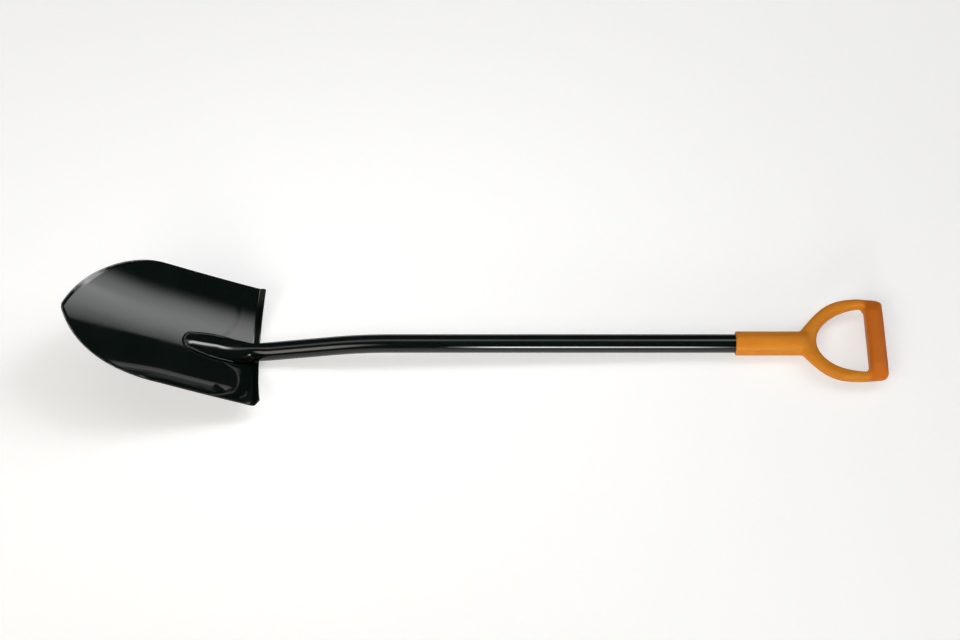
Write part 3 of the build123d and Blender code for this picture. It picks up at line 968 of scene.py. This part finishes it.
grip = {
    "sleeveMouth": rest["sleeveMouth"],
    "sleeveEnd": 455.5,
    "sleeveRadius": rest["sleeveRadius"],
    "boreRadius": 13.55,
    "boreEnd": 449.0,
    "loopRise": 8.8,
    "yokeRise": 2.4,
    "armThickness": 17.0,
    "foot": (453.0, 12.0),
    "widest": (541.5, 65.5),
    "flare": math.radians(51.0),
    "flarePulls": (1.6, 1.25),
    "end": (575.3, 63.5),
    "opening": (552.1, 72.2, 53.0),
    "barX": (550.5, 576.8),
    "barHalf": 60.5,
    "barThickness": (26.0, 27.4, 20.0),
    "barCorner": 5.0,
    "barThinFrom": 40.0,
    "climb": (462, 546),
    "hubX": 545.0,
    "sweep": math.radians(92),
    "armEnds": (548, 552, 558, 564, 570, 573.5),
    "armPower": 3.0,
    "barPower": 3.4,
    "yokeLength": 22,
    "yokeHigh": 7.4,
    "yokeFlare": 12,
    "screwX": 419.0,
    "screwProfile": ((-21, 4.25), (-16.9, 4.25), (-14.5, 2.15), (-8, 2.15)),
    "voxel": 0.9,
    "smoothing": 18,
    "halvings": 40,
}
# How far smoothing can have moved a wall, so that the sleeve's walls are found and put back.
wallSearch = {
    "outside": 1.5,
    "boreIn": 1.5,
    "boreOut": 1.9,
    "boreStop": 1.5,
    "mouth": 1.2,
    "release": (16, 2),
}


def blend(value, start, end):
    share = min(max((value - start) / (end - start), 0), 1)
    return share * share * (3 - 2 * share)


# The loop's outer half width at x: a flared curve, then a straight run to the crossbar.
def loopSide(x):
    (x0, y0), (x1, y1), (x2, y2) = grip["foot"], grip["widest"], grip["end"]
    if x < x0:
        return 0
    if x > x1:
        return y1 + (y2 - y1) * (x - x1) / (x2 - x1)
    chord = math.hypot(x1 - x0, y1 - y0)
    first, second = (pull * chord for pull in grip["flarePulls"])
    low, high = 0, 1
    for _ in range(grip["halvings"]):
        t = (low + high) / 2
        h0, h1, h2, h3 = 2*t**3 - 3*t**2 + 1, t**3 - 2*t**2 + t, 3*t**2 - 2*t**3, t**3 - t**2
        there = h0 * x0 + h1 * first * math.cos(grip["flare"]) + h2 * x1 + h3 * second
        low, high = (t, high) if there < x else (low, t)
    return h0 * y0 + h1 * first * math.sin(grip["flare"]) + h2 * y1


# The arms leave the sleeve near its middle line and climb to the raised crossbar.
def loopHeight(x):
    return grip["yokeRise"] + (grip["loopRise"] - grip["yokeRise"]) * blend(x, *grip["climb"])


def squareOval(centre, right, up, power, around=44):
    ring = []
    for step in range(around):
        angle = 2 * math.pi * step / around
        wide, high = math.cos(angle), math.sin(angle)
        ring.append(centre + right * math.copysign(abs(wide) ** (2 / power), wide)
                    + up * math.copysign(abs(high) ** (2 / power), high))
    return ring


def armRings():
    hubX, power = grip["hubX"], grip["armPower"]
    openX, openLong, openHalf = grip["opening"]
    up = Vector((0, 0, grip["armThickness"] / 2))
    rings = []
    for step in range(-64, 65):
        angle = math.pi - step / 64 * grip["sweep"]
        way = Vector((math.cos(angle), math.sin(angle), 0))
        low, high = 0, 200
        for _ in range(grip["halvings"]):
            reach = (low + high) / 2
            x, y = hubX + reach * way.x, abs(reach * way.y)
            low, high = (reach, high) if y < loopSide(x) else (low, reach)
        outer = Vector((hubX, 0, 0)) + way * low
        gap, first = (hubX - openX) / openLong, way.x / openLong
        second = way.y / openHalf
        a, b, c = first * first + second * second, 2 * gap * first, gap * gap - 1
        inner = Vector((hubX, 0, 0)) + way * ((-b + math.sqrt(b * b - 4 * a * c)) / (2 * a))
        centre = (outer + inner) / 2
        centre.z = loopHeight(centre.x)
        rings.append(squareOval(centre, (outer - inner) / 2, up, power))
    for side in (1, -1):
        runs = []
        for x in grip["armEnds"]:
            outerY = loopSide(x) - blend(x, 568, 580) * 4.0
            innerY = openHalf - blend(x, 543, 556) * 12.0
            slim = up * (1 - 0.25 * blend(x, 566, 574))
            runs.append(squareOval(Vector((x, side * (outerY + innerY) / 2, grip["loopRise"])),
                                   Vector((0, side * (outerY - innerY) / 2, 0)), slim, power))
        rings = list(reversed(runs)) + rings if side < 0 else rings + runs
    return rings


def barRings():
    centreX, depth = sum(grip["barX"]) / 2, (grip["barX"][1] - grip["barX"][0]) / 2
    full, swollen, slim = (thick / 2 for thick in grip["barThickness"])
    half, corner = grip["barHalf"], grip["barCorner"]
    rings = []
    for step in range(-30, 31):
        y = half * math.sin(step / 30 * math.pi / 2)
        high = full + (swollen - full) * (1 - (y / half) ** 2)
        high += (slim - high) * blend(abs(y), grip["barThinFrom"], half)
        cut = corner - math.sqrt(max(corner ** 2 - max(abs(y) - half + corner, 0) ** 2, 0))
        rings.append(squareOval(Vector((centreX, y, grip["loopRise"])), Vector((depth - cut, 0, 0)),
                                Vector((0, 0, high - cut)), grip["barPower"]))
    return rings


def sleeveRings():
    radius, bore = grip["sleeveRadius"], grip["boreRadius"]
    mouth, end, stop = grip["sleeveMouth"], grip["sleeveEnd"], grip["boreEnd"]
    outline = [(stop, 0.02), (stop, bore * 0.5), (stop, bore), (mouth + 40, bore), (mouth, bore),
               (mouth, radius), (mouth + 45, radius), (end - 6, radius), (end, radius)]
    rings = [squareOval(Vector((x, 0, 0)), Vector((0, size, 0)), Vector((0, 0, size)), 2, 64)
             for x, size in outline]
    for step in range(1, 17):
        share = step / 16
        x = end + grip["yokeLength"] * share
        drop = blend(share, 0, 1)
        high = radius + (grip["yokeHigh"] - radius) * drop
        wide = radius + grip["yokeFlare"] * drop * (1 - share)
        rings.append(squareOval(Vector((x, 0, grip["yokeRise"] * drop)), Vector((0, wide, 0)),
                                Vector((0, 0, high)), 2, 64))
    return rings


def screwCutter():
    rings = [squareOval(Vector((grip["screwX"], 0, z)), Vector((size, 0, 0)), Vector((0, size, 0)), 2, 48)
             for z, size in grip["screwProfile"]]
    mesh = skinRings("screwCutter", rings)
    outwards(mesh)
    return addObject("screwCutter", mesh)


# The sleeve and its bore are round and straight again after smoothing.
def restoreWalls(mesh):
    radius, bore = grip["sleeveRadius"], grip["boreRadius"]
    first, last = (grip["sleeveEnd"] - back for back in wallSearch["release"])
    for vertex in mesh.vertices:
        x, away = vertex.co.x, math.hypot(vertex.co.y, vertex.co.z)
        onBore = bore - wallSearch["boreIn"] < away < radius - wallSearch["boreOut"]
        if onBore and x < grip["boreEnd"] - wallSearch["boreStop"]:
            vertex.co.yz = vertex.co.yz * (bore / away)
        elif away > radius - wallSearch["outside"] and x > grip["sleeveMouth"] + wallSearch["mouth"]:
            hold = 1 - blend(x, first, last)
            vertex.co.yz = vertex.co.yz * (1 + (radius / away - 1) * hold)
        vertex.co.x = max(vertex.co.x, grip["sleeveMouth"])


def makeGrip():
    work = bmesh.new()
    for rings in (sleeveRings(), armRings(), barRings()):
        part = skinRings("part", rings)
        outwards(part)
        work.from_mesh(part)
        bpy.data.meshes.remove(part)
    mesh = bpy.data.meshes.new("gripParts")
    work.to_mesh(mesh)
    work.free()
    piece = addObject("gripParts", mesh)
    remesh = piece.modifiers.new("remesh", "REMESH")
    remesh.mode = "VOXEL"
    remesh.voxel_size = grip["voxel"]
    smooth = piece.modifiers.new("smooth", "SMOOTH")
    smooth.factor = 0.5
    smooth.iterations = grip["smoothing"]
    piece = bake(piece, "dGripMould")
    restoreWalls(piece.data)
    cutter = screwCutter()
    cut = piece.modifiers.new("screwHole", "BOOLEAN")
    cut.operation = "DIFFERENCE"
    cut.solver = "EXACT"
    cut.object = cutter
    piece = bake(piece, "dGrip")
    bpy.data.objects.remove(cutter)
    mesh = piece.data
    mesh.transform(layDown)
    smoothMesh(mesh)
    mesh.materials.clear()
    mesh.materials.append(orangePlastic)
    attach(piece, "root")
    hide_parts("d_grip")
    print("grip made,", len(mesh.polygons), "faces")


makeGrip()

# Floor: pale and plain, a little of its white its own so that shadows stay soft

floorTone = {"paint": 0.62, "own": 0.5, "rough": 0.9, "specular": 0.1}
floorHalf = 20


def makeFloor():
    mesh = bpy.data.meshes.new("floor")
    corners = [(x * floorHalf, y * floorHalf, 0) for x, y in ((-1, -1), (1, -1), (1, 1), (-1, 1))]
    mesh.from_pydata(corners, [], [(0, 1, 2, 3)])
    floor = addObject("floor", mesh)
    finish = Finish("floor")
    finish.fixed("Base Color", (floorTone["paint"],) * 3 + (1,))
    finish.fixed("Roughness", floorTone["rough"])
    finish.fixed("Specular IOR Level", floorTone["specular"])
    finish.fixed("Emission Color", (1, 1, 1, 1))
    ray = finish.tree.nodes.new("ShaderNodeLightPath")
    seen = Flow(finish.tree, ray.outputs["Is Camera Ray"])
    seen = seen.most(Flow(finish.tree, ray.outputs["Is Glossy Ray"]))
    seen = seen.most(Flow(finish.tree, ray.outputs["Is Transmission Ray"]))
    finish.feed("Emission Strength", seen * floorTone["own"])
    mesh.materials.append(finish.paint)


makeFloor()

# Lamps: fade is the soft share of each side, and corner slants the box's right side.

lamps = {
    "bandBox": {
        "place": (3.56, 1.10, 3.585), "aim": (-0.69, 0.25, 1.085), "size": (6.9, 1.84),
        "radiance": 0.71, "spread": 64, "fade": (0.3, 0.01, 0.02, 0.1), "corner": (0.724, 1.07, 0.262),
    },
    "ridgeBox": {
        "place": (0.47, 0.29, 1.44), "aim": (-0.34, 0, 0.09), "size": (0.55, 0.95),
        "radiance": 0.9, "spread": 50, "fade": (0.35, 0.35, 0.3, 0.3),
    },
    "topBox": {
        "place": (0, 0.9, 4.9), "aim": (0, 0, 0), "size": (8.5, 3.3),
        "radiance": 1.75, "spread": 180, "fade": (0.3, 0.3, 0.45, 0.45),
    },
    "lineBox": {
        "place": (0.35, -2.95, 0.72), "aim": (0.35, 0, 0), "size": (0.85, 1.5),
        "radiance": 0.72, "spread": 28, "fade": (0.2, 0.2, 0.45, 0.45),
    },
    "nearBox": {
        "place": (-2.2, -2.9, 3.0), "aim": (0.2, 0, 0), "size": (4.2, 3.2), "colour": (1.0, 0.95, 0.82),
        "radiance": 4.6, "spread": 180, "fade": (0.3, 0.3, 0.3, 0.3),
    },
}
cornerSoftness = 0.02
worldColour = (0.03, 0.03, 0.035, 1)


def addSoftbox(name, place, aim, size, radiance, spread, fade, colour=(1, 1, 1), corner=None):
    lamp = bpy.data.lights.new(name, "AREA")
    lamp.shape = "RECTANGLE"
    lamp.size, lamp.size_y = size
    lamp.energy = radiance * math.pi * size[0] * size[1]
    lamp.color = colour
    lamp.spread = math.radians(spread)
    lamp.use_nodes = True
    tree = lamp.node_tree
    spot = tree.nodes.new("ShaderNodeSeparateXYZ")
    tree.links.new(tree.nodes.new("ShaderNodeNewGeometry").outputs["Parametric"], spot.inputs[0])
    u, v = Flow(tree, spot.outputs["X"]), Flow(tree, spot.outputs["Y"])
    glow = (u.between(0.0, fade[0], True) * u.between(1.0, 1.0 - fade[1], True)
            * v.between(0.0, fade[2], True) * v.between(1.0, 1.0 - fade[3], True))
    if corner:
        edge = (v * -corner[1] + corner[2]).most(0.0) + corner[0]
        glow = glow * (edge - u).between(0.0, cornerSoftness, True)
    tree.links.new(glow.socket, tree.nodes["Emission"].inputs["Strength"])
    body = addObject(name, lamp)
    away = (Vector(place) - Vector(aim)).normalized()
    side = Vector((0, 0, 1)).cross(away).normalized()
    turn = Matrix((side, away.cross(side), away)).transposed().to_4x4()
    body.matrix_world = Matrix.Translation(place) @ turn
    body.visible_camera = False


for lampName, setting in lamps.items():
    addSoftbox(lampName, **setting)
world = bpy.data.worlds.new("world")
bpy.context.scene.world = world
world.use_nodes = True
world.node_tree.nodes["Background"].inputs["Color"].default_value = worldColour
print("floor and lamps set")
